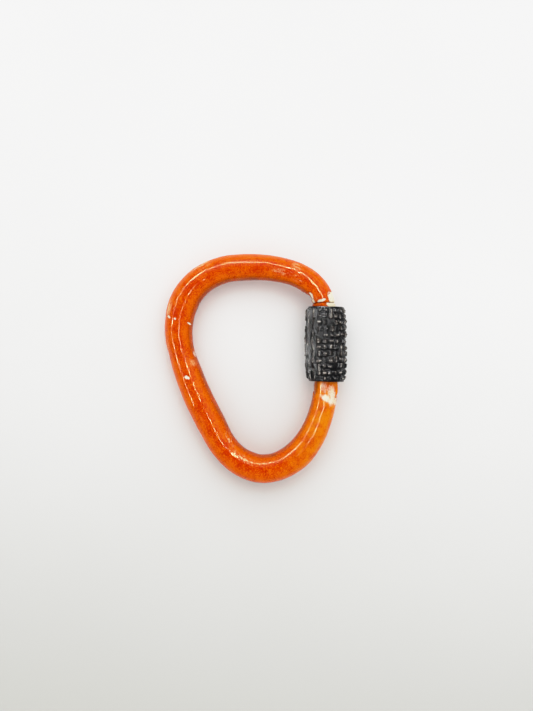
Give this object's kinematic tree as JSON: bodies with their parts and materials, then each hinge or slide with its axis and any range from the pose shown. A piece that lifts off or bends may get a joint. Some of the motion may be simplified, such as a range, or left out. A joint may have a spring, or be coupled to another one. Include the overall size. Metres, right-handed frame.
{
  "type": "screw-sleeve carabiner keyring",
  "caption": "Pear-shaped ring of glossy orange bar with a spring gate that hinges inward and a dark textured sleeve that screws up over the nose to lock it.",
  "frame": {"origin": "middle of the ring's bounding box, on the plane that halves the bar", "axes": "+Y up the ring from its foot to its top bend, +X from the solid back towards the gate, +Z out of the ring's front face"},
  "size_m": [0.0575, 0.0719, 0.0134],
  "materials": {
    "orange_glaze": "glossy orange glaze over a cream body, chipped and worn",
    "charcoal_glaze": "satin charcoal glaze over a hand-pressed basket-weave texture",
    "steel": "bright, lightly brushed",
    "brass": "machined, oiled",
    "rubber": "matte"
  },
  "bodies": {
    "ring": {"frame": "orange_glaze", "pivot_pin": "steel"},
    "gate": {"gate": "orange_glaze", "nose_pin": "steel", "stop_ring": "steel", "gate_spring": "steel"},
    "plunger": {"spring_plunger": "steel"},
    "drag_ring": {"drag_ring": "rubber"},
    "sleeve": {"sleeve_shell": "charcoal_glaze", "sleeve_nut": "brass"}
  },
  "joints": [
    {"name": "gate_hinge", "type": "hinge", "parent": "ring", "child": "gate", "pos_m": [0.0219, -0.0064, 0], "axis": [0, 0, 1], "range_deg": [0, 28], "stiffness_Nm_per_rad": 0.04, "springref_deg": -20.05},
    {"name": "plunger_slide", "type": "slide", "parent": "gate", "child": "plunger", "axis": [0, 1, 0], "range_m": [0, 0.0006], "deforming": ["gate_spring"]},
    {"name": "sleeve_travel", "type": "slide", "parent": "gate", "child": "drag_ring", "axis": [0, 1, 0], "range_m": [0, 0.0025]},
    {"name": "sleeve_turn", "type": "hinge", "parent": "drag_ring", "child": "sleeve", "pos_m": [0.0219, 0.0078, 0], "axis": [0, 1, 0], "range_deg": [0, 720]}
  ],
  "couplings": [
    {"joint": "plunger_slide", "follows": "gate_hinge", "m_per_rad": 0.0012},
    {"joint": "sleeve_turn", "follows": "sleeve_travel", "rad_per_m": 5026.5}
  ]
}
